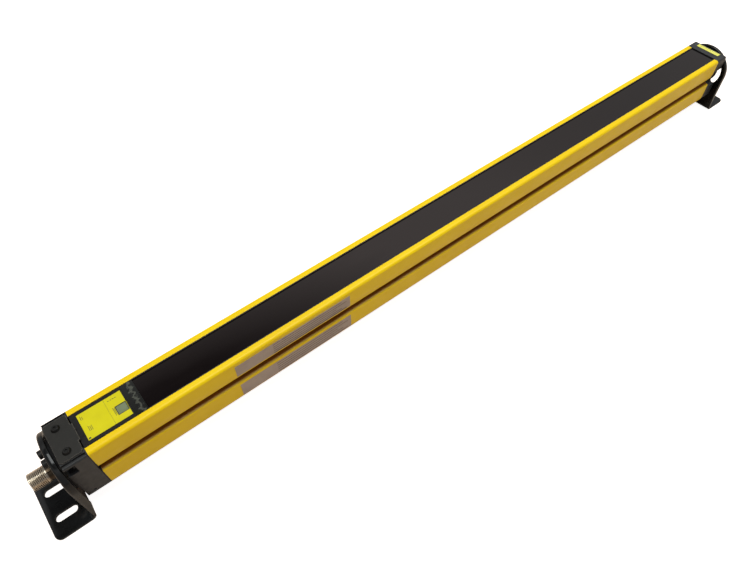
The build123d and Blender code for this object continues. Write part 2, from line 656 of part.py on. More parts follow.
def bracket_dish():
    """The upright of a bracket: a plate with an eased outer edge and a rim turned in round its arch."""
    low = BEND_INNER + PLATE
    top = AXIS_HEIGHT + BRACKET_RADIUS + CUT
    rim_end = PLATE_OUTER - 2 * RIM_DEPTH_SIDE
    dish = along(arch(0.0, low), rim_end, PLATE_OUTER)
    crest = [edge for edge in dish.faces().sort_by(Axis.X)[-1].edges() if edge.center().Z > low + FACE_GAP]
    dish = chamfer(crest, EDGE_CHAMFER)
    dish -= along(arch(PLATE, 0.0), rim_end - CUT, PLATE_INNER)
    side = Plane.XZ * make_face(Polyline(
        (PLATE_OUTER, low), (PLATE_INNER, low), (PLATE_OUTER - RIM_DEPTH_SIDE, RIM_CURVE_FOOT),
        (PLATE_OUTER - RIM_DEPTH_SIDE, RIM_CURVE_TOP), (PLATE_OUTER - RIM_DEPTH_TOP, top),
        (PLATE_OUTER, top), close=True))
    return dish & extrude(side, 2 * BRACKET_RADIUS, both=True)


def bracket_foot():
    """The foot of a bracket, with the bend that leads up to its plate."""
    outer_bend = BEND_INNER + PLATE
    foot_end = PLATE_OUTER + FOOT_REACH
    with BuildLine() as strip:
        sole = Line((foot_end, 0), (PLATE_INNER + outer_bend, 0))
        heel = TangentArc(sole @ 1, (PLATE_INNER, outer_bend), tangent=sole % 1)
        joint = Line(heel @ 1, (PLATE_OUTER, outer_bend))
        instep = TangentArc(joint @ 1, (PLATE_OUTER + BEND_INNER, PLATE), tangent=(0, -1))
        tread = Line(instep @ 1, (foot_end, PLATE))
        Line(tread @ 1, sole @ 0)
    foot = extrude(Plane.XZ * make_face(strip.edges()), BRACKET_RADIUS, both=True)
    foot = fillet(foot.edges().filter_by(Axis.Z).group_by(Axis.X)[-1], FOOT_CORNER)
    for side_y in (-1, 1):
        slot = Pos(PLATE_OUTER + FOOT_SLOT_OFFSET, side_y * FOOT_SLOT_SPACING / 2)
        foot -= slot * extrude(SlotOverall(FOOT_SLOT_LENGTH, FOOT_SLOT_WIDTH), 2 * PLATE, both=True)
    return foot


def bracket():
    """A pressed steel bracket: a dished upright with arc slots and a bore, bent out into a slotted foot."""
    shape = bracket_dish() + bracket_foot()
    for turn in (0, 90, 180, 270):
        path = CenterArc((0, AXIS_HEIGHT), SLOT_RADIUS, turn - SLOT_HALF_ANGLE, 2 * SLOT_HALF_ANGLE)
        shape -= along(Plane.YZ * SlotArc(path, SLOT_WIDTH), PLATE_INNER - CUT, PLATE_OUTER + CUT)
    return shape - rod(PLATE_INNER - CUT, PLATE_OUTER + CUT, SPIGOT_RADIUS)


def connector_shell():
    """The nickel-plated connector body: a threaded barrel, a neck and a flange inside the cap."""
    thread_start = CONNECTOR_TIP - THREAD_LENGTH
    neck_start = PLATE_OUTER + FIT
    profile = Plane.XZ * Pos(0, AXIS_HEIGHT) * make_face(Polyline(
        (FLANGE_INNER, CONNECTOR_BORE_RADIUS), (CONNECTOR_TIP, CONNECTOR_BORE_RADIUS),
        (CONNECTOR_TIP, CONNECTOR_RADIUS - CONNECTOR_CHAMFER),
        (CONNECTOR_TIP - CONNECTOR_CHAMFER, CONNECTOR_RADIUS), (thread_start, CONNECTOR_RADIUS),
        (thread_start, NECK_RADIUS), (neck_start, NECK_RADIUS), (neck_start, CONNECTOR_RADIUS),
        (FLANGE_OUTER, CONNECTOR_RADIUS), (FLANGE_OUTER, CONNECTOR_FLANGE_RADIUS),
        (FLANGE_INNER, CONNECTOR_FLANGE_RADIUS), close=True))
    return revolve(profile, Axis((0, 0, AXIS_HEIGHT), (1, 0, 0)))


def connector_insert():
    """The moulded insert that carries the pins, with a polarising key."""
    face = CONNECTOR_TIP - INSERT_RECESS
    back = FLANGE_INNER - INSERT_TAIL
    insert = rod(back, face, CONNECTOR_BORE_RADIUS - FACE_GAP)
    for y, z in pin_places():
        insert -= small_rod(back - CUT, face + CUT, PIN_RADIUS + PIN_FIT, y, z)
    key_middle = AXIS_HEIGHT + CONNECTOR_BORE_RADIUS - KEY_SINK - KEY_HEIGHT / 2
    key = Plane.YZ * Pos(0, key_middle) * Rectangle(KEY_WIDTH, KEY_HEIGHT)
    return insert + along(key, face, face + PIN_REACH)


def pin_places():
    """The pins' places as (Y, Z): one in the middle and the rest on a circle."""
    ring = [90 + 360 / (PINS - 1) * (index + 0.5) for index in range(PINS - 1)]
    places = [(PIN_CIRCLE * cos(radians(a)), AXIS_HEIGHT + PIN_CIRCLE * sin(radians(a))) for a in ring]
    return [(0.0, AXIS_HEIGHT)] + places


def connector_pins():
    """The contact pins, standing out of the insert at the mating face and a little at its back."""
    start = FLANGE_INNER - INSERT_TAIL - PIN_TAIL
    end = CONNECTOR_TIP - INSERT_RECESS + PIN_REACH
    return [small_rod(start, end, PIN_RADIUS, y, z) for y, z in pin_places()]


def connector_seal():
    """The flat sealing ring between the connector's flange and the cap."""
    ring = Plane.YZ * Pos(0, AXIS_HEIGHT) * (Circle(SEAL_RING_OUTER) - Circle(SEAL_RING_INNER))
    return along(ring, FLANGE_OUTER, FLANGE_SEAT)


def retaining_ring():
    """The split spring ring that holds the connector's flange in the cap."""
    ring = Circle(RING_GROOVE_RADIUS - FACE_GAP) - Circle(CONNECTOR_FLANGE_RADIUS - RING_WIDTH)
    ring -= Pos(0, -CONNECTOR_FLANGE_RADIUS) * Rectangle(RING_GAP, CONNECTOR_FLANGE_RADIUS)
    return along(Plane.YZ * Pos(0, AXIS_HEIGHT) * ring, RING_INNER, RING_OUTER)


def inner_lead():
    """The flat ribbon lead from the connector's pins down to the header on the main board."""
    start = FLANGE_INNER - INSERT_TAIL - PIN_TAIL
    end = HEADER_FAR + LEAD_REACH
    level = depth(BOARD_TOP - HEADER_HEIGHT / 2)
    turn = start - LEAD_REACH
    route = [(start, 0, AXIS_HEIGHT), (turn, 0, AXIS_HEIGHT), (end, 0, level), (HEADER_FAR, 0, level)]
    path = FilletPolyline(*route, radius=LEAD_BEND)
    section = Plane(origin=path @ 0, x_dir=(0, 1, 0), z_dir=path % 0) * Rectangle(LEAD_WIDTH, LEAD_THICKNESS)
    return sweep(section, path=path)


def board_header():
    """The header on the main board that the inner lead plugs into."""
    start = HEADER_FAR - HEADER_LENGTH
    return block(start, HEADER_FAR, HEADER_WIDTH, BOARD_TOP - HEADER_HEIGHT, BOARD_TOP)


def side_label(top, bottom):
    """A thin label that follows the housing's -Y side between two depths."""
    skin = offset(outline(grooved=True), LABEL_THICKNESS) - outline(grooved=True)
    middle = (depth(top) + depth(bottom)) / 2
    strip = skin & (Plane.YZ * Pos(-HALF_WIDTH, middle) * Rectangle(GROOVE_DEPTH, bottom - top))
    start = TUBE_NEAR + SIDE_LABEL_START
    return along(strip, start, start + SIDE_LABEL_LENGTH)


def at_near_end(shape):
    """The same thing at the connector end, mirrored across the middle of the housing."""
    pieces = shape if isinstance(shape, list) else [shape]
    mirrored = [mirror(piece, about=Plane.YZ) for piece in pieces]
    return mirrored if isinstance(shape, list) else mirrored[0]


def main():
    os.makedirs("parts", exist_ok=True)
    nodes = {
        "housing_extrusion": housing_extrusion(),
        "window": window(),
        "window_seals": window_seals(),
        "access_cover": access_cover(),
        "face_label": face_label(),
        "display_window": display_window(),
        "display_board": display_board(),
        "display_posts": display_posts(),
        "switch_bank": switch_bank(),
        "status_block": status_block(),
        "status_lamps": status_lamps(),
        "optics_block": optics_block(),
        "lens_array": lens_array(),
        "circuit_board": circuit_board(),
        "beam_diodes": beam_diodes(),
        "board_header": at_near_end(board_header()),
        "inner_lead": at_near_end(inner_lead()),
        "near_end_cap": at_near_end(near_end_cap()),
        "near_gasket": Pos(TUBE_NEAR - TUBE_FAR - GASKET_THICKNESS, 0, 0) * gasket(),
        "near_cap_screws": at_near_end(cap_screws(NEAR_CAP_LENGTH)),
        "guard_plate": at_near_end(guard_plate()),
        "guard_screws": at_near_end(guard_screws()),
        "connector_shell": at_near_end(connector_shell()),
        "connector_insert": at_near_end(connector_insert()),
        "connector_pins": at_near_end(connector_pins()),
        "connector_seal": at_near_end(connector_seal()),
        "connector_retaining_ring": at_near_end(retaining_ring()),
        "near_bracket": at_near_end(bracket()),
        "near_clamp_screws": at_near_end(clamp_screws()),
        "far_end_cap": far_end_cap(),
        "far_cap_label": far_cap_label(),
        "far_gasket": gasket(),
        "far_cap_screws": cap_screws(FAR_CAP_LENGTH),
        "far_bracket": bracket(),
        "far_clamp_screws": clamp_screws(),
        "upper_side_label": side_label(UPPER_LABEL_TOP, GROOVE_TOP - UPPER_LABEL_GAP),
        "lower_side_label": side_label(GROOVE_BOTTOM + LOWER_LABEL_GAP, HOUSING_DEPTH - LOWER_LABEL_RISE),
    }
    for name, shape in nodes.items():
        solid = Compound(children=shape) if isinstance(shape, list) else shape
        export_step(solid, f"parts/{name}.step")


main()
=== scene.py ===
import bmesh
import bpy
import numpy as np
from math import pi, radians
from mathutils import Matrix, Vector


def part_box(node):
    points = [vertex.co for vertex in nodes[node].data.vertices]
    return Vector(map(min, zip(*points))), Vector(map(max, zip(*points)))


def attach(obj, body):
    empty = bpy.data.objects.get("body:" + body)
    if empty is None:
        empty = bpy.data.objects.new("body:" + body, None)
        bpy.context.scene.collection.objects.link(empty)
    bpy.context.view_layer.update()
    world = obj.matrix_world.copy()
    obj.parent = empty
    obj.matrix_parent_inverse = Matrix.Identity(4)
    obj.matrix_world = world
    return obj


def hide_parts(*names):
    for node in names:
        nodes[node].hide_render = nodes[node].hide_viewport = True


# The looks of a light curtain's sensor bar: a yellow powder-coated housing with a dark filter window,
# black die-cast ends on two pressed steel brackets, and a nickel-plated round connector.
# Lengths are in millimetres unless a comment says metres, and X, Y and Z are the frame's own.
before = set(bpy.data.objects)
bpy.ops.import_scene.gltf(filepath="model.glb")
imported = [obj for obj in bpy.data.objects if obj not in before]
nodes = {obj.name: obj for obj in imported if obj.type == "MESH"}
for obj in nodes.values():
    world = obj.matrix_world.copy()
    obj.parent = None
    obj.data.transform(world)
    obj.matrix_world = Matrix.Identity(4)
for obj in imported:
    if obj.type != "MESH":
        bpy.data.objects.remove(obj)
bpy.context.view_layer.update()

MM = 0.001

# The housing's section, as Y and Z on its +Y half
AXIS_Z = 39.4
RIM_Z = 62.0
BASE_Z = 16.8
HALF_WIDTH = 18.0
HALF_OPENING = 12.95
RIM_CORNER = 2.3
BAND_FOOT_Z = 50.0
LIP_Y = 17.0
GROOVE_FLOOR_Y = 11.0
GROOVE_TOP_Z = 42.7
GROOVE_ROOF = 43.0
SILL_START_Z = 37.8
SILL_END_Z = 35.9
SILL_SLOPE = 0.08
FOOT_START_Z = 22.0
FOOT_CORNER_Y = 16.5
INSIDE = ((HALF_OPENING, 61.0), (14.6, 61.0), (14.6, 57.0), (12.3, 57.0), (12.3, 55.4), (16.0, 55.4),
          (16.0, 44.7), (9.0, 44.7), (9.0, 33.9), (16.0, 33.9), (16.0, 18.8))
OPENING_EASE = 0.3
LIP_EASE = 0.35
GROOVE_EASE = 0.4
SILL_EASE = 0.45
FOOT_EASE = 0.3
INSIDE_EASE = 0.1
END_MARGIN = 0.5

# Brackets and end caps: how wide their edges are eased, and where the eased edges lie. A foot's slots are
# between the two SLOTS_X and within SLOTS_HALF_Y, and the face's slots and bore within SLOTS_RADIUS.
BRACKET_EASE = 0.5
CAP_EASE = 0.4
FOOT_TOP_Z = 4.5
FACE_FOOT_Z = 3.5
SLOTS_HALF_Y = 14.0
SLOTS_X = (345.0, 363.5)
SLOTS_RADIUS = 21.0
CAP_SIDE_Y = 17.9
CAP_FACE_X = 335.0
NEAR_CAP_TOP_Z = 45.0
FAR_CAP_TOP_Z = 61.9

# The near cap's gutters: their inner and outer Y, and the height of their floor
GUTTER = (15.0, 17.1, 60.0)

# Connector. The neck's corners are eased over a length along X and a rise in radius.
BARREL_LENGTH = 10.0
BARREL_RADIUS = 6.0
BARREL_END_RADIUS = 5.9
TIP_RADII = (5.3, 5.5)
NECK_RADIUS = 5.6
NECK_EASE = (0.2, 0.05)
SHANK_START_X = -341.15
FLANGE_START_X = -333.1
FLANGE_RADIUS = 8.0
SHELL_BORE = 4.6
SHELL_CHAMFER = 0.15
SHELL_SIDES = 72
THREAD_PITCH = 1.0
THREAD_DEPTH = 0.42
THREAD_ROWS = 8
THREAD_FADE = 0.5

# The status row's zigzag: its line is solid within the second blur of its middle and gone beyond the first
ZIGZAG_PITCH = 4.6
ZIGZAG_START = -282.9
ZIGZAG_REACH = 0.7
ZIGZAG_BLUR = (1.6, 0.4)
ZIGZAG_RAGGED = 7.0

# Printing and trim. On the face label, X counts from the label's near edge: rules are (X, Y, length),
# dashes (X, length), and the crease and the corner mark (X, X, Y, Y). The display's border, the window's edge
# bars and the side rules start SINK below the surface that they lie on. Tick lengths are the mean, the swing
# and the sine's step in radians.
INK_HEIGHT = 0.02
SINK = 0.05
ROW_WIDTH = 0.28
LABEL_ROWS = ((3.0, -4.6, 4.0), (3.9, -4.6, 3.2), (4.8, -4.6, 3.6), (1.4, 5.2, 3.0), (2.3, 5.2, 2.2),
              (19.6, -5.0, 6.2), (20.3, -4.2, 4.6))
LABEL_DASHES = ((19.0, 0.9), (20.6, 0.7), (21.9, 1.1), (23.6, 0.8))
DASHES_Y = (7.0, 7.45)
CREASE = (17.0, 17.12, -10.0, 10.0)
CREASE_HEIGHT = 0.012
CORNER_MARK = (0.5, 1.9, -9.4, -8.4)
DISPLAY_BORDER = 0.45
BORDER_HEIGHT = 0.03
STRIP_TICKS = 12
STRIP_INSET = 2.5
TICKS_FROM_EDGE = (1.9, 1.3)
TICK_LENGTHS = (0.55, 0.35, 2.1)
SIDE_FILM = 0.2
SIDE_ROWS = 5
SIDE_ROW_HALF = 0.33
SIDE_BARE_SHARE = 0.31
SIDE_END_GAP = 3.0
SIDE_END_STEP = 4.5
EDGE_BAR_INNER_Y = 12.3
EDGE_BAR_OUTER_Y = 13.0
EDGE_BAR_BELOW_RIM = 0.2

# Light and floor, in metres and watts. The floor adds a glow that only the camera sees, which makes it white
# in the picture, and lights the part with its own pale warm colour.
AMBIENT = 0.3
AMBIENT_TINT = (1.0, 0.9, 0.84)
KEY_POWER = 27.5
KEY_HEIGHT = 1.6
KEY_SIZE = (1.5, 0.9)
KEY_PLACE = (0.22, 0.0)
KEY_TINT = (0.97, 1.0, 0.97)
FLOOR_HEX = "#d8c7b8"
FLOOR_GLOW = 0.93
FLOOR_SIZE = 40.0
FLOOR_DROP = 0.0003

# The room that polished faces mirror: grey against height, from straight down at 0 to straight up at 1
ROOM = ((0.0, 0.40), (0.49, 0.45), (0.55, 0.5), (0.62, 0.63), (0.695, 0.9), (0.767, 1.0), (0.82, 0.35),
        (0.835, 0.08))

# A black finish returns the warm floor's light a little cooler than it came
COOL = (0.86, 0.93, 1.0, 1.0)

# The camera of the photo: its place in metres, its turns in degrees and its lens in millimetres
EYE = (-0.27665, -0.23311, 0.41112)
PITCH = 37.657
HEADING = -38.392
LENS = 29.84


def span(node):
    """Lowest and highest corner of a CAD node, in millimetres."""
    low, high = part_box(node)
    return np.array(low) / MM, np.array(high) / MM


# Colour and node helpers
def linear(hex_colour):
    """An sRGB hex colour as linear RGBA: each channel through the sRGB curve."""
    channels = [int(hex_colour[i:i + 2], 16) / 255 for i in (1, 3, 5)]
    return [c / 12.92 if c <= 0.04045 else ((c + 0.055) / 1.055) ** 2.4 for c in channels] + [1.0]


def add(tree, kind, settings=None, links=None):
    """Adds one node, with its properties and input values from settings and its inputs joined as in links."""
    node = tree.nodes.new(kind)
    for name, value in (settings or {}).items():
        if isinstance(name, str) and hasattr(node, name):
            setattr(node, name, value)
        else:
            node.inputs[name].default_value = value
    for name, socket in (links or {}).items():
        tree.links.new(socket, node.inputs[name])
    return node


def finish(name, colour, roughness, **settings):
    """A material with one Principled shader: its name, sRGB colour, roughness and other socket values."""
    material = bpy.data.materials.new(name)
    material.use_nodes = True
    shader = material.node_tree.nodes["Principled BSDF"]
    shader.inputs["Base Color"].default_value = linear(colour)
    shader.inputs["Roughness"].default_value = roughness
    for socket, value in settings.items():
        shader.inputs[socket.replace("_", " ")].default_value = value
    return material


def shader_of(material):
    """The material's one Principled shader."""
    return material.node_tree.nodes["Principled BSDF"]


def grain(material, size_mm, detail=4.0, stretch=(1.0, 1.0, 1.0)):
    """Noise whose grains are about size_mm across, stretched along the axes by the given factors."""
    tree = material.node_tree
    place = add(tree, "ShaderNodeTexCoord")
    turn = add(tree, "ShaderNodeMapping", {"Scale": [1 / s for s in stretch]},
               {"Vector": place.outputs["Object"]})
    settings = {"Scale": 1 / (size_mm * MM), "Detail": detail}
    return add(tree, "ShaderNodeTexNoise", settings, {"Vector": turn.outputs[0]}).outputs["Fac"]


def vary_colour(material, fac, low_hex, high_hex, low=0.3, high=0.7):
    """Base colour between two sRGB colours, as fac goes from low to high."""
    tree = material.node_tree
    ramp = add(tree, "ShaderNodeValToRGB", None, {"Fac": fac})
    ramp.color_ramp.elements[0].position = low
    ramp.color_ramp.elements[0].color = linear(low_hex)
    ramp.color_ramp.elements[1].position = high
    ramp.color_ramp.elements[1].color = linear(high_hex)
    tree.links.new(ramp.outputs["Color"], shader_of(material).inputs["Base Color"])


def vary_roughness(material, fac, low, high):
    """Roughness between two values, as fac goes from 0.3 to 0.7."""
    tree = material.node_tree
    settings = {"From Min": 0.3, "From Max": 0.7, "To Min": low, "To Max": high}
    spread = add(tree, "ShaderNodeMapRange", settings, {"Value": fac})
    tree.links.new(spread.outputs[0], shader_of(material).inputs["Roughness"])


def relief(material, height, depth_mm, strength=1.0, edge_mm=0.3):
    """Bump from a height that runs from 0 to 1, over a real depth, on edges eased by edge_mm."""
    tree = material.node_tree
    edge = add(tree, "ShaderNodeBevel", {"samples": 4, "Radius": edge_mm * MM})
    settings = {"Strength": strength, "Distance": depth_mm * MM}
    bump = add(tree, "ShaderNodeBump", settings, {"Height": height, "Normal": edge.outputs[0]})
    tree.links.new(bump.outputs[0], shader_of(material).inputs["Normal"])


def blend_in(material, share, hex_colour):
    """Mixes an sRGB colour into the base colour that is there so far, by the share that a socket gives."""
    tree = material.node_tree
    colour = shader_of(material).inputs["Base Color"]
    blend = add(tree, "ShaderNodeMix", {"data_type": "RGBA"}, {0: share, 6: colour.links[0].from_socket})
    blend.inputs[7].default_value = linear(hex_colour)
    tree.links.new(blend.outputs[2], colour)


def wear_and_edge_highlight(material, hex_colour, edge_mm, share):
    """A lighter colour along the edges: partly paint pulled thin and rubbed bright, and partly a painted
    highlight where the edges catch the light. The mask grows as the normal of an edge eased by edge_mm turns
    away from the flat face's own normal, up to the given share."""
    tree = material.node_tree
    eased_edge = add(tree, "ShaderNodeBevel", {"samples": 6, "Radius": edge_mm * MM})
    face = add(tree, "ShaderNodeNewGeometry")
    match = add(tree, "ShaderNodeVectorMath", {"operation": "DOT_PRODUCT"},
                {0: eased_edge.outputs[0], 1: face.outputs["Normal"]})
    wear_and_highlight = add(tree, "ShaderNodeMapRange", {"From Min": 0.99, "From Max": 0.86, "To Max": share},
               {"Value": match.outputs["Value"]})
    blend_in(material, wear_and_highlight.outputs[0], hex_colour)


def groove_shade(material, hex_colour):
    """Painted shade: a deeper colour inside the side grooves and on the rounded bottom corners, set in over 2
    mm of depth below the grooves' roof.
    """
    tree = material.node_tree
    place = add(tree, "ShaderNodeTexCoord")
    axes = add(tree, "ShaderNodeSeparateXYZ", None, {0: place.outputs["Object"]})
    across = add(tree, "ShaderNodeMath", {"operation": "ABSOLUTE"}, {0: axes.outputs["Y"]})
    settings = {"From Min": (HALF_WIDTH - 0.1) * MM, "From Max": (HALF_WIDTH - 2.0) * MM}
    deep = add(tree, "ShaderNodeMapRange", settings, {"Value": across.outputs[0]})
    below = add(tree, "ShaderNodeMath", {"operation": "LESS_THAN", 1: GROOVE_ROOF * MM},
                {0: axes.outputs["Z"]})
    share = add(tree, "ShaderNodeMath", {"operation": "MULTIPLY"}, {0: deep.outputs[0], 1: below.outputs[0]})
    blend_in(material, share.outputs[0], hex_colour)


# Finishes
def powder_coat():
    """Safety-yellow powder coat on the extrusion: satin, with the faint orange peel of a baked powder."""
    material = finish("yellow_powder_coat", "#e9c703", 0.4, Specular_IOR_Level=0.25)
    vary_colour(material, grain(material, 45.0), "#e6c302", "#eccb03")
    # Painted shade in the side grooves and on the bottom corners
    groove_shade(material, "#8a5502")
    vary_roughness(material, grain(material, 7.0), 0.33, 0.44)
    relief(material, grain(material, 1.1, 2.0), 0.02, 0.5, 0.2)
    return material


def filter_acrylic():
    """Infrared-passing acrylic: nearly black with a trace of red, polished, so that it mirrors the room."""
    material = finish("infrared_filter_acrylic", "#0a0607", 0.07, IOR=1.49,
                      Specular_Tint=(1.0, 0.86, 0.82, 1.0))
    vary_roughness(material, grain(material, 12.0, 6.0, (4.0, 1.0, 1.0)), 0.05, 0.12)
    return material


def die_cast_black():
    """Die-cast alloy under satin black paint: a fine cast texture, and a soft grey sheen."""
    material = finish("black_painted_die_casting", "#222222", 0.5, Specular_Tint=COOL)
    vary_colour(material, grain(material, 9.0), "#1e1e1f", "#262526")
    # Lighter edges: partly wear, partly a painted highlight
    wear_and_edge_highlight(material, "#5a5650", 0.4, 0.5)
    vary_roughness(material, grain(material, 3.0), 0.44, 0.56)
    # A cast skin's grain is nearer 0.2 mm, and is drawn coarser here so that it shows
    relief(material, grain(material, 0.6, 3.0), 0.03, 0.6, 0.35)
    return material


def black_steel():
    """Pressed steel under a thin black electrocoat: smoother and glossier than the castings."""
    material = finish("black_coated_steel", "#0b0a09", 0.34, Specular_IOR_Level=0.12, Coat_Weight=0.45,
                      Coat_Roughness=0.09, Coat_Tint=(0.9, 0.95, 1.0, 1.0), Specular_Tint=COOL)
    vary_colour(material, grain(material, 14.0), "#080706", "#0e0d0b")
    # Lighter edges: partly wear, partly a painted highlight
    wear_and_edge_highlight(material, "#55514b", 0.6, 0.6)
    vary_roughness(material, grain(material, 6.0), 0.24, 0.38)
    relief(material, grain(material, 0.9, 2.0), 0.012, 0.25, 0.6)
    return material


def guard_steel():
    """The guard plate's own coat: the same black steel, flatter and a little greyer."""
    material = finish("matt_black_steel", "#1d1b18", 0.48, Specular_IOR_Level=0.3)
    vary_colour(material, grain(material, 5.0), "#171613", "#1e1c19")
    # Lighter edges: partly wear, partly a painted highlight
    wear_and_edge_highlight(material, "#85807a", 0.35, 0.8)
    relief(material, grain(material, 0.6, 3.0), 0.015, 0.5, 0.25)
    return material


def moulded_black():
    """Glass-filled nylon moulding, black, with a fine spark-eroded texture."""
    material = finish("black_nylon_moulding", "#0c0a0a", 0.36, Specular_IOR_Level=0.3)
    vary_roughness(material, grain(material, 2.0), 0.3, 0.42)
    # The spark pits are nearer 0.1 mm, and are drawn coarser here so that they show
    relief(material, grain(material, 0.35, 3.0), 0.02, 0.6, 0.25)
    return material


def smoked_polycarbonate():
    """Smoked polycarbonate over the status lamps: glossy, with the grey zigzag of its light guides below."""
    material = finish("smoked_polycarbonate", "#20221d", 0.16, IOR=1.58)
    tree = material.node_tree
    place = add(tree, "ShaderNodeTexCoord")
    axes = add(tree, "ShaderNodeSeparateXYZ", None, {0: place.outputs["Object"]})
    wave = add(tree, "ShaderNodeMath", {"operation": "PINGPONG", 1: ZIGZAG_PITCH / 2 * MM},
               {0: axes.outputs["Y"]})
    ridge = add(tree, "ShaderNodeMath", {"operation": "MULTIPLY_ADD", 1: ZIGZAG_REACH, 2: ZIGZAG_START * MM},
                {0: wave.outputs[0]})
    past = add(tree, "ShaderNodeMath", {"operation": "SUBTRACT"}, {0: axes.outputs["X"], 1: ridge.outputs[0]})
    settings = {"operation": "MULTIPLY_ADD", 1: ZIGZAG_RAGGED * MM, 2: -ZIGZAG_RAGGED / 2 * MM}
    ragged = add(tree, "ShaderNodeMath", settings, {0: grain(material, 2.2, 5.0)})
    edge = add(tree, "ShaderNodeMath", {"operation": "ADD"}, {0: past.outputs[0], 1: ragged.outputs[0]})
    line = add(tree, "ShaderNodeMath", {"operation": "ABSOLUTE"}, {0: edge.outputs[0]})
    settings = {"From Min": ZIGZAG_BLUR[0] * MM, "From Max": ZIGZAG_BLUR[1] * MM}
    share = add(tree, "ShaderNodeMapRange", settings, {"Value": line.outputs[0]})
    vary_colour(material, share.outputs[0], "#10110f", "#484a43", 0.0, 1.0)
    return material


def label_film():
    """Yellow-green printed polyester film, satin."""
    material = finish("yellow_green_label_film", "#cfc606", 0.4, Specular_IOR_Level=0.3)
    vary_colour(material, grain(material, 9.0), "#cbc205", "#d3cb07")
    vary_roughness(material, grain(material, 4.0), 0.32, 0.42)
    return material


def pale_film():
    """The pale yellow film of the strip label on the far cap, lighter and glossier than the face label."""
    material = finish("pale_yellow_label_film", "#dfdc62", 0.28)
    vary_colour(material, grain(material, 5.0), "#dad75a", "#e6e470")
    return material


def grey_film():
    """Satin silver-grey polyester film of the side labels."""
    material = finish("grey_label_film", "#a2958c", 0.42, Metallic=0.2)
    vary_colour(material, grain(material, 12.0), "#9c8f86", "#a99c92")
    return material


def print_ink(name, colour):
    """Flat screen-printed ink: little gloss, and slightly uneven."""
    material = finish(name, colour, 0.5)
    vary_roughness(material, grain(material, 1.5), 0.44, 0.58)
    return material


def display_glass():
    """A reflective liquid crystal behind its pane: grey-green, with nothing switched on."""
    material = finish("grey_green_display", "#6f7a5e", 0.18, IOR=1.5)
    vary_colour(material, grain(material, 4.0), "#6a7559", "#758064")
    return material


def nickel_plate():
    """Bright nickel on a turned brass shell: pale on the thread, and painted dark from the thread's end over
    the neck and flange, as painted shade and a painted reflection of the black bracket beside it.
    """
    material = finish("nickel_plated_brass", "#8f806c", 0.26, Metallic=1.0)
    tree = material.node_tree
    place = add(tree, "ShaderNodeTexCoord")
    axes = add(tree, "ShaderNodeSeparateXYZ", None, {0: place.outputs["Object"]})
    tip = span("connector_shell")[0][0]
    settings = {"From Min": (tip + BARREL_LENGTH - 0.5) * MM, "From Max": (tip + BARREL_LENGTH + 1.0) * MM}
    # Painted shade and painted reflection: the colour darkens from the thread's end over the neck and flange
    neck = add(tree, "ShaderNodeMapRange", settings, {"Value": axes.outputs["X"]})
    vary_colour(material, neck.outputs[0], "#cbc0b0", "#3d342a", 0.0, 1.0)
    vary_roughness(material, grain(material, 1.4, 3.0), 0.2, 0.34)
    return material


def plated_steel(name, colour, roughness):
    """Plated screw steel, slightly uneven."""
    material = finish(name, colour, roughness, Metallic=1.0)
    vary_roughness(material, grain(material, 1.2, 3.0), roughness - 0.06, roughness + 0.08)
    return material


def black_oxide():
    """Oil-blacked screw steel: dark, and dull but for its edges."""
    material = finish("blackened_screw_steel", "#1c1b1a", 0.36, Metallic=0.6)
    relief(material, grain(material, 0.8, 2.0), 0.01, 0.4, 0.25)
    return material


def soft_rubber():
    """Moulded rubber: matt black with a faint bloom."""
    material = finish("black_seal_rubber", "#121212", 0.7)
    vary_colour(material, grain(material, 3.0), "#0f0f0f", "#171716")
    return material


def inner_finishes():
    """Finishes of what lies inside the housing, out of sight until it is taken apart."""
    board = finish("green_solder_mask", "#0f4a2a", 0.35)
    vary_colour(board, grain(board, 2.0), "#0c4225", "#13522f")
    optics = finish("black_optics_moulding", "#141414", 0.6)
    relief(optics, grain(optics, 0.6, 3.0), 0.02, 0.5)
    lens = finish("clear_lens_acrylic", "#d8dde0", 0.06, IOR=1.49)
    vary_roughness(lens, grain(lens, 3.0), 0.04, 0.1)
    diode = finish("tinted_diode_epoxy", "#221b2c", 0.15)
    vary_colour(diode, grain(diode, 2.0), "#1e1727", "#282033")
    header = finish("natural_nylon", "#dcd5c2", 0.45)
    vary_colour(header, grain(header, 3.0), "#d6cfbb", "#e1dac8")
    lead = finish("black_lead_sheath", "#1a1a1a", 0.5)
    vary_roughness(lead, grain(lead, 2.0), 0.42, 0.58)
    switch = finish("red_switch_moulding", "#8c1f18", 0.4)
    vary_colour(switch, grain(switch, 2.0), "#841b15", "#94241c")
    brass = plated_steel("turned_brass", "#c9a75a", 0.3)
    contact = plated_steel("gold_plated_contact", "#d8b765", 0.25)
    return {
        "display_board": board, "circuit_board": board, "optics_block": optics, "lens_array": lens,
        "beam_diodes": diode, "board_header": header, "inner_lead": lead, "switch_bank": switch,
        "display_posts": brass, "connector_pins": contact,
    }


# Mesh helpers
def put_mesh(name, points, faces, material, body="housing", smooth_angle=35.0):
    """A mesh object from points in millimetres, smooth but for edges sharper than smooth_angle."""
    mesh = bpy.data.meshes.new(name)
    mesh.from_pydata((np.asarray(points) * MM).tolist(), [], [list(map(int, face)) for face in faces])
    mesh.update()
    piece = bpy.data.objects.new(name, mesh)
    bpy.context.scene.collection.objects.link(piece)
    mesh.materials.append(material)
    mesh.shade_smooth()
    mesh.set_sharp_from_angle(angle=radians(smooth_angle))
    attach(piece, body)
    return piece


def grid_faces(rows, columns, wrap_rows=False, wrap_columns=False):
    """Quads of a grid of points numbered row by row, closed round either way where asked."""
    row = np.arange(rows if wrap_rows else rows - 1)
    column = np.arange(columns if wrap_columns else columns - 1)
    r, c = np.meshgrid(row, column, indexing="ij")
    r2, c2 = (r + 1) % rows, (c + 1) % columns
    quads = np.stack([r * columns + c, r * columns + c2, r2 * columns + c2, r2 * columns + c], axis=-1)
    return quads.reshape(-1, 4)


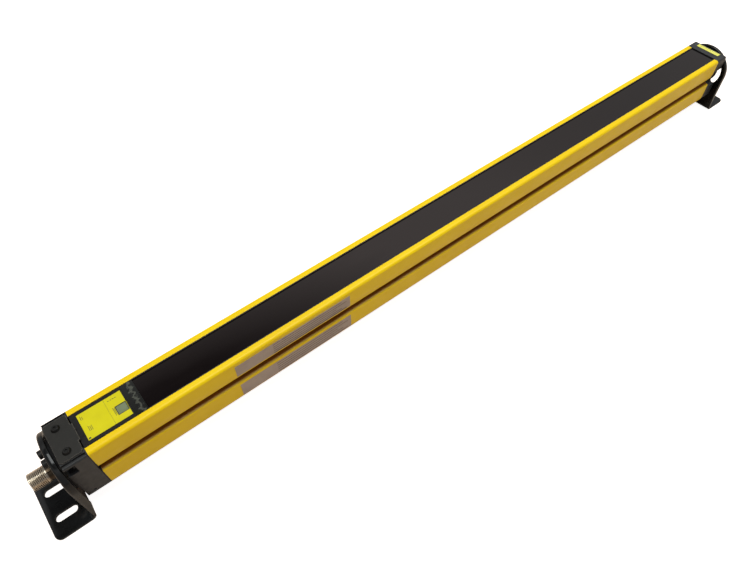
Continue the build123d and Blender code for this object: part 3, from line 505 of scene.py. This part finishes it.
def tangent_arc(start, heading, end, steps):
    """Points of the arc that leaves start along heading and stops at end. Its centre lies square to the
    heading, at chord squared / (2 x the chord's part along that square line)."""
    start, heading, end = (np.asarray(v, float) for v in (start, heading, end))
    square = np.array([-heading[1], heading[0]]) / np.hypot(*heading)
    chord = end - start
    reach = chord @ chord / (2 * chord @ square)
    centre = start + reach * square
    first = np.arctan2(*(start - centre)[::-1])
    last = np.arctan2(*(end - centre)[::-1])
    turn = (last - first + pi) % (2 * pi) - pi
    angle = first + turn * np.linspace(0, 1, steps + 1)
    return centre + abs(reach) * np.stack([np.cos(angle), np.sin(angle)], axis=1)


def eased(corners, cuts, steps=3, support=0.3):
    """A closed outline with its corners rounded: each corner C gives way to the curve
    (1 - s)^2 A + 2 s (1 - s) C + s^2 B, where A and B lie cut back from C along its two sides. A support
    point beyond A and B keeps the flats flat. A corner with no cut stays as it is."""
    corners, cuts = np.asarray(corners, float), np.asarray(cuts, float)
    before, after = np.roll(corners, 1, axis=0) - corners, np.roll(corners, -1, axis=0) - corners
    before /= np.linalg.norm(before, axis=1)[:, None]
    after /= np.linalg.norm(after, axis=1)[:, None]
    back, on = corners + before * cuts[:, None], corners + after * cuts[:, None]
    s = np.linspace(0, 1, steps + 1)[None, :, None]
    curve = (1 - s) ** 2 * back[:, None] + 2 * s * (1 - s) * corners[:, None] + s ** 2 * on[:, None]
    ring = np.concatenate([(back + before * support)[:, None], curve, (on + after * support)[:, None]],
                          axis=1)
    kept = np.ones(ring.shape[:2], bool)
    kept[cuts == 0] = False
    kept[cuts == 0, 1] = True
    return ring[kept]


def swept(name, outline, stations, material, body="housing"):
    """A bar along X: the same closed outline, as (Y, Z) counter-clockwise from +X, at each station."""
    rows, columns = len(stations), len(outline)
    points = np.empty((rows, columns, 3))
    points[..., 0] = np.asarray(stations)[:, None]
    points[..., 1:] = outline
    faces = grid_faces(rows, columns, wrap_columns=True).tolist()
    first = np.arange(columns)
    faces += [first[::-1].tolist(), (first + (rows - 1) * columns).tolist()]
    return put_mesh(name, points.reshape(-1, 3), faces, material, body)


def strips(name, boxes, material, body="housing"):
    """Thin bars in one mesh, from rows of (x0, x1, y0, y1, z0, z1)."""
    low, high = np.asarray(boxes, float)[:, 0::2], np.asarray(boxes, float)[:, 1::2]
    pick = np.array([[i, j, k] for i in (0, 1) for j in (0, 1) for k in (0, 1)])
    points = np.where(pick[None], high[:, None], low[:, None])
    sides = np.array([[0, 1, 3, 2], [4, 6, 7, 5], [0, 4, 5, 1], [2, 3, 7, 6], [0, 2, 6, 4], [1, 5, 7, 3]])
    faces = (sides[None] + 8 * np.arange(len(points))[:, None, None]).reshape(-1, 4)
    return put_mesh(name, points.reshape(-1, 3), faces, material, body)


def both_sides(half):
    """A half outline on +Y, from the top down, carried on round the -Y side as its mirror image."""
    half = np.asarray(half, float)
    return np.concatenate([half, (half * [-1, 1, 1])[::-1]])


# Housing
def housing_skin():
    """The extrusion's whole section, walls and hollow, as one closed outline swept along X. The outer corners
    are arcs that leave the straight bands along their own direction, and each edge is eased as a die leaves
    it."""
    low, high = span("housing_extrusion")
    rim = tangent_arc((HALF_WIDTH - RIM_CORNER, RIM_Z), (1, 0), (HALF_WIDTH, RIM_Z - RIM_CORNER), 10)
    lip = tangent_arc((HALF_WIDTH, BAND_FOOT_Z), (0, -1), (LIP_Y, GROOVE_TOP_Z), 8)
    sill = tangent_arc((GROOVE_FLOOR_Y, SILL_START_Z), (1, -SILL_SLOPE), (HALF_WIDTH, SILL_END_Z), 8)
    foot = tangent_arc((HALF_WIDTH, FOOT_START_Z), (0, -1), (FOOT_CORNER_Y, BASE_Z), 8)
    arcs = np.concatenate([rim, lip, [(GROOVE_FLOOR_Y, GROOVE_TOP_Z)], sill, foot])
    cuts = np.zeros(len(arcs))
    lip_edge = len(rim) + len(lip) - 1
    sill_edge = lip_edge + 1 + len(sill)
    cuts[lip_edge], cuts[sill_edge], cuts[-1] = LIP_EASE, SILL_EASE, FOOT_EASE
    cuts[[lip_edge + 1, lip_edge + 2]] = GROOVE_EASE
    outer = np.concatenate([[(HALF_OPENING, RIM_Z, OPENING_EASE)], np.column_stack([arcs, cuts])])
    inner = np.column_stack([INSIDE, np.full(len(INSIDE), INSIDE_EASE)])
    loop = np.concatenate([both_sides(outer), np.concatenate([inner * [-1, 1, 1], inner[::-1]])])
    outline = eased(loop[:, :2], loop[:, 2])[::-1]
    stations = (low[0], low[0] + END_MARGIN, high[0] - END_MARGIN, high[0])
    skin = swept("housing_skin", outline, stations, powder_coat(), "housing")
    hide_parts("housing_extrusion")


# Pressed and cast pieces with eased edges
def joined_copy(node):
    """The node's own surface with its loose triangles joined and its flat faces made whole, as a bmesh."""
    shell = bmesh.new()
    shell.from_mesh(nodes[node].data)
    bmesh.ops.remove_doubles(shell, verts=shell.verts, dist=0.001 * MM)
    bmesh.ops.dissolve_limit(shell, angle_limit=radians(0.5), verts=shell.verts, edges=shell.edges)
    return shell


def eased_copy(node, name, width_mm, chosen, body="housing", gutters=None):
    """Stands for a CAD node with real rounded edges: each edge sharper than 30 degrees whose two ends lie
    where chosen(x, y, z) says, in millimetres, gives way to an arc of three facets across width_mm. Then the
    bars in gutters are cut away."""
    paint = nodes[node].data.materials[0]
    shell = joined_copy(node)
    weight = shell.edges.layers.float.new("bevel_weight_edge")
    for edge in shell.edges:
        if len(edge.link_faces) == 2 and edge.calc_face_angle() > radians(30.0):
            ends = [vert.co / MM for vert in edge.verts]
            edge[weight] = float(all(chosen(*end) for end in ends))
    mesh = bpy.data.meshes.new(name)
    shell.to_mesh(mesh)
    shell.free()
    piece = bpy.data.objects.new(name, mesh)
    bpy.context.scene.collection.objects.link(piece)
    ease = piece.modifiers.new("eased_edges", "BEVEL")
    ease.limit_method, ease.use_clamp_overlap = "WEIGHT", False
    ease.width, ease.segments = width_mm * MM, 3
    cutter = strips(name + "_bars", gutters, paint) if gutters else None
    if cutter:
        cut = piece.modifiers.new("gutters", "BOOLEAN")
        cut.solver, cut.object = "EXACT", cutter
    ready = piece.evaluated_get(bpy.context.evaluated_depsgraph_get())
    piece.data = bpy.data.meshes.new_from_object(ready)
    piece.modifiers.clear()
    if cutter:
        bpy.data.objects.remove(cutter)
    piece.data.materials.clear()
    piece.data.materials.append(paint)
    piece.data.shade_smooth()
    piece.data.set_sharp_from_angle(angle=radians(35.0))
    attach(piece, body)
    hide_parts(node)


def on_bracket_outline(x, y, z):
    """True on a bracket's outer edges, and false at its slots and bore."""
    at_slots = abs(y) < SLOTS_HALF_Y and SLOTS_X[0] < abs(x) < SLOTS_X[1]
    on_face = z > FACE_FOOT_Z and np.hypot(y, z - AXIS_Z) > SLOTS_RADIUS
    return on_face or (z < FOOT_TOP_Z and not at_slots)


def on_near_cap_side(x, y, z):
    """True on the near cap's two sides, below the cut-outs at the upper screws."""
    return abs(y) > CAP_SIDE_Y and x < -CAP_FACE_X and z < NEAR_CAP_TOP_Z


def on_far_cap_outline(x, y, z):
    """True on the far cap's sides and top."""
    return x > CAP_FACE_X and (abs(y) > CAP_SIDE_Y or z > FAR_CAP_TOP_Z)


def eased_pieces():
    """The brackets and the caps with their outer edges eased, as pressing and casting leave them."""
    for end in ("near", "far"):
        body = f"{end}_bracket"
        eased_copy(body, f"pressed_{body}", BRACKET_EASE, on_bracket_outline, body)
    low, high = span("near_end_cap")
    inner, outer, floor_z = GUTTER
    bars = [(low[0] - 1.0, high[0], min(side * inner, side * outer), max(side * inner, side * outer), floor_z,
             RIM_Z + 1.0) for side in (-1, 1)]
    eased_copy("near_end_cap", "cast_near_cap", CAP_EASE, on_near_cap_side, gutters=bars)
    eased_copy("far_end_cap", "cast_far_cap", CAP_EASE, on_far_cap_outline)


# Connector
def threaded_connector():
    """The turned shell as a surface of revolution about the housing's axis. On the barrel the radius is
    R - depth x (1 - |2 f - 1|), where R is the barrel's own radius and f is the fraction of
    (x / pitch + angle / one turn), so that it winds as a screw thread. The depth fades to nothing over the
    last half millimetre at each end."""
    low, high = span("connector_shell")
    tip, flange_end = low[0], high[0]
    chamfer = SHELL_CHAMFER
    barrel_end = tip + BARREL_LENGTH
    barrel = np.arange(tip + THREAD_FADE, barrel_end, THREAD_PITCH / THREAD_ROWS)
    run, rise = NECK_EASE
    before = [(flange_end, SHELL_BORE), (tip + chamfer, SHELL_BORE), (tip, SHELL_BORE + chamfer),
              (tip, TIP_RADII[0]), (tip + chamfer, TIP_RADII[1])]
    after = [(barrel_end, BARREL_END_RADIUS), (barrel_end, NECK_RADIUS + rise),
             (barrel_end + run, NECK_RADIUS), (SHANK_START_X - run, NECK_RADIUS),
             (SHANK_START_X, NECK_RADIUS + rise), (SHANK_START_X, BARREL_RADIUS),
             (FLANGE_START_X, BARREL_RADIUS), (FLANGE_START_X, FLANGE_RADIUS - chamfer),
             (FLANGE_START_X + chamfer, FLANGE_RADIUS),
             (flange_end - chamfer, FLANGE_RADIUS), (flange_end, FLANGE_RADIUS - chamfer),
             (flange_end, SHELL_BORE + chamfer)]
    rows = np.concatenate([before, np.column_stack([barrel, np.full(len(barrel), BARREL_RADIUS)]), after])
    along, plain = rows[:, :1], rows[:, 1:]
    angle = np.arange(SHELL_SIDES) * 2 * pi / SHELL_SIDES
    phase = (along / THREAD_PITCH + angle / (2 * pi)) % 1.0
    inside = np.minimum(along - (tip + THREAD_FADE - 0.1), barrel_end - along) / THREAD_FADE
    depth = THREAD_DEPTH * np.clip(inside, 0, 1)
    depth[:len(before)] = depth[len(before) + len(barrel):] = 0
    radius = plain - depth * (1 - np.abs(2 * phase - 1))
    points = np.stack([np.broadcast_to(along, radius.shape), radius * np.cos(angle),
                       AXIS_Z + radius * np.sin(angle)], axis=-1)
    faces = grid_faces(len(rows), SHELL_SIDES, wrap_rows=True, wrap_columns=True)
    shell = put_mesh("threaded_connector", points.reshape(-1, 3), faces, nickel_plate(), "housing",
                     40.0)
    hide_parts("connector_shell")


# Printing and small trim on the face
def face_print():
    """The label's marks: ruled lines where the small text would stand, a corner mark and the dark border of
    the display, all printing, and a line of painted shade along a crease. Every mark is a thin raised bar."""
    low, high = span("face_label")
    start, top = low[0], high[2]
    raised = (top, top + INK_HEIGHT)
    thin = [(start + x, start + x + ROW_WIDTH, y, y + length, *raised) for x, y, length in LABEL_ROWS]
    thin += [(start + x, start + x + length, *DASHES_Y, *raised) for x, length in LABEL_DASHES]
    # Painted shade: a dark ink line where the label is creased
    crease = (start + CREASE[0], start + CREASE[1], *CREASE[2:], top, top + CREASE_HEIGHT)
    corner_mark = (start + CORNER_MARK[0], start + CORNER_MARK[1], *CORNER_MARK[2:], *raised)
    strips("label_print_and_crease_shade", thin + [crease, corner_mark], print_ink("dark_grey_ink", "#3a3712"))
    (x0, y0, _), (x1, y1, top) = span("display_window")
    rim = DISPLAY_BORDER
    border = [(x0, x1, y0, y0 + rim), (x0, x1, y1 - rim, y1), (x0, x0 + rim, y0 + rim, y1 - rim),
              (x1 - rim, x1, y0 + rim, y1 - rim)]
    strips("display_border", [bar + (top - SINK, top + BORDER_HEIGHT) for bar in border],
           print_ink("black_border_ink", "#16170f"))


def window_edge_bars():
    """A thin black bar along each long edge of the window, from just below the pane's top to just under the
    rim, in the seals' rubber finish: it makes the dark line along the rims' inner edges.
    """
    low, high = span("window")
    bars = [(low[0], high[0], *side, high[2] - SINK, RIM_Z - EDGE_BAR_BELOW_RIM)
            for side in ((-EDGE_BAR_OUTER_Y, -EDGE_BAR_INNER_Y), (EDGE_BAR_INNER_Y, EDGE_BAR_OUTER_Y))]
    strips("window_edge_bars", bars, nodes["window_seals"].data.materials[0])


def strip_print():
    """A row of short plain ticks along the strip label on the far cap, where small type would stand."""
    low, high = span("far_cap_label")
    places = np.linspace(low[1] + STRIP_INSET, high[1] - STRIP_INSET, STRIP_TICKS)
    mean, swing, step = TICK_LENGTHS
    lengths = mean + swing * np.sin(np.arange(STRIP_TICKS) * step)
    first, last = high[0] - np.array(TICKS_FROM_EDGE)
    ticks = [(first, last, y, y + length, high[2] - INK_HEIGHT, high[2] + INK_HEIGHT)
             for y, length in zip(places, lengths)]
    strips("strip_label_ticks", ticks, print_ink("dark_strip_ink", "#2c2b18"))


def side_print():
    """Rows of plain ruled lines on the far two thirds of both side labels, in place of small type."""
    rows = []
    outer = -HALF_WIDTH - SIDE_FILM
    for node in ("upper_side_label", "lower_side_label"):
        low, high = span(node)
        length, _, height = high - low
        for index in range(SIDE_ROWS):
            z = low[2] + height * (index + 0.7) / (SIDE_ROWS + 0.4)
            last = high[0] - SIDE_END_GAP - SIDE_END_STEP * (index % 3)
            rows.append((low[0] + SIDE_BARE_SHARE * length, last, outer - INK_HEIGHT, outer + SINK,
                         z - SIDE_ROW_HALF, z + SIDE_ROW_HALF))
    strips("side_label_rules", rows, print_ink("faint_grey_ink", "#5c514b"))


# Dressing of the CAD nodes
def dress(node, material):
    """Gives a CAD node its finish."""
    mesh = nodes[node].data
    mesh.materials.clear()
    mesh.materials.append(material)


def dress_nodes():
    """Gives each CAD node its finish. Nodes of the same stuff share one material."""
    black = die_cast_black()
    smoked = smoked_polycarbonate()
    steel = black_steel()
    moulding = moulded_black()
    rubber = soft_rubber()
    film = label_film()
    silver = grey_film()
    strip = pale_film()
    zinc = plated_steel("zinc_plated_steel", "#b9b7b0", 0.32)
    dark = black_oxide()
    finishes = {
        "window": filter_acrylic(), "window_seals": rubber,
        "access_cover": moulding, "face_label": film, "display_window": display_glass(),
        "status_block": smoked, "status_lamps": smoked,
        "near_end_cap": black, "far_end_cap": black, "near_gasket": rubber, "far_gasket": rubber,
        "guard_plate": guard_steel(), "guard_screws": dark, "near_cap_screws": dark, "far_cap_screws": dark,
        "connector_insert": moulding, "connector_seal": rubber,
        "connector_retaining_ring": zinc, "near_bracket": steel, "far_bracket": steel,
        "near_clamp_screws": dark, "far_clamp_screws": dark, "far_cap_label": strip,
        "upper_side_label": silver, "lower_side_label": silver,
    }
    finishes.update(inner_finishes())
    for node, material in finishes.items():
        dress(node, material)


# Stage
def studio():
    """A white floor, an even white surround and one soft lamp overhead."""
    world = bpy.data.worlds.new("white_studio")
    bpy.context.scene.world = world
    world.use_nodes = True
    tree = world.node_tree
    tree.nodes.clear()
    path = add(tree, "ShaderNodeLightPath")
    place = add(tree, "ShaderNodeTexCoord")
    height = add(tree, "ShaderNodeSeparateXYZ", None, {0: place.outputs["Generated"]})
    ramp = add(tree, "ShaderNodeValToRGB", None, {"Fac": height.outputs["Z"]})
    while len(ramp.color_ramp.elements) < len(ROOM):
        ramp.color_ramp.elements.new(0.5)
    for element, (position, grey) in zip(ramp.color_ramp.elements, ROOM):
        element.position = position
        element.color = (grey, grey, grey, 1.0)
    ambient = add(tree, "ShaderNodeBackground", {"Color": (*AMBIENT_TINT, 1.0), "Strength": AMBIENT})
    mirrored = add(tree, "ShaderNodeBackground", {"Strength": 1.0}, {"Color": ramp.outputs["Color"]})
    white = add(tree, "ShaderNodeBackground", {"Color": (1.0, 1.0, 1.0, 1.0), "Strength": 1.0})
    gloss = add(tree, "ShaderNodeMath", {"operation": "MAXIMUM"},
                {0: path.outputs["Is Glossy Ray"], 1: path.outputs["Is Transmission Ray"]})
    inner = add(tree, "ShaderNodeMixShader", None,
                {0: gloss.outputs[0], 1: ambient.outputs[0], 2: mirrored.outputs[0]})
    outer = add(tree, "ShaderNodeMixShader", None,
                {0: path.outputs["Is Camera Ray"], 1: inner.outputs[0], 2: white.outputs[0]})
    add(tree, "ShaderNodeOutputWorld", None, {"Surface": outer.outputs[0]})

    lamp = bpy.data.lights.new("overhead_softbox", "AREA")
    lamp.shape = "RECTANGLE"
    lamp.size, lamp.size_y = KEY_SIZE
    lamp.energy = KEY_POWER
    lamp.color = KEY_TINT
    holder = bpy.data.objects.new("overhead_softbox", lamp)
    holder.location = (*KEY_PLACE, KEY_HEIGHT)
    bpy.context.scene.collection.objects.link(holder)

    bpy.ops.mesh.primitive_plane_add(size=FLOOR_SIZE, location=(0.0, 0.0, -FLOOR_DROP))
    floor = bpy.context.object
    floor.name = "floor"
    material = bpy.data.materials.new("white_floor")
    material.use_nodes = True
    tree = material.node_tree
    tree.nodes.clear()
    path = add(tree, "ShaderNodeLightPath")
    matt = add(tree, "ShaderNodeBsdfDiffuse", {"Color": linear(FLOOR_HEX)})
    glow = add(tree, "ShaderNodeMath", {"operation": "MULTIPLY", 1: FLOOR_GLOW},
               {0: path.outputs["Is Camera Ray"]})
    light = add(tree, "ShaderNodeEmission", {"Color": (1.0, 1.0, 1.0, 1.0)}, {"Strength": glow.outputs[0]})
    both = add(tree, "ShaderNodeAddShader", None, {0: matt.outputs[0], 1: light.outputs[0]})
    add(tree, "ShaderNodeOutputMaterial", None, {"Surface": both.outputs[0]})
    floor.data.materials.append(material)


def photo_camera():
    """The photo's own camera: its place, its direction and its lens."""
    camera = bpy.data.cameras.new("photo_camera")
    camera.lens = LENS
    camera.sensor_width = 36.0
    camera.clip_start = 0.01
    holder = bpy.data.objects.new("photo_camera", camera)
    holder.location = EYE
    holder.rotation_euler = (radians(PITCH), 0.0, radians(HEADING))
    bpy.context.scene.collection.objects.link(holder)
    bpy.context.scene.camera = holder


dress_nodes()
housing_skin()
eased_pieces()
threaded_connector()
face_print()
window_edge_bars()
strip_print()
side_print()
studio()
photo_camera()
bpy.context.scene.view_settings.view_transform = "Standard"
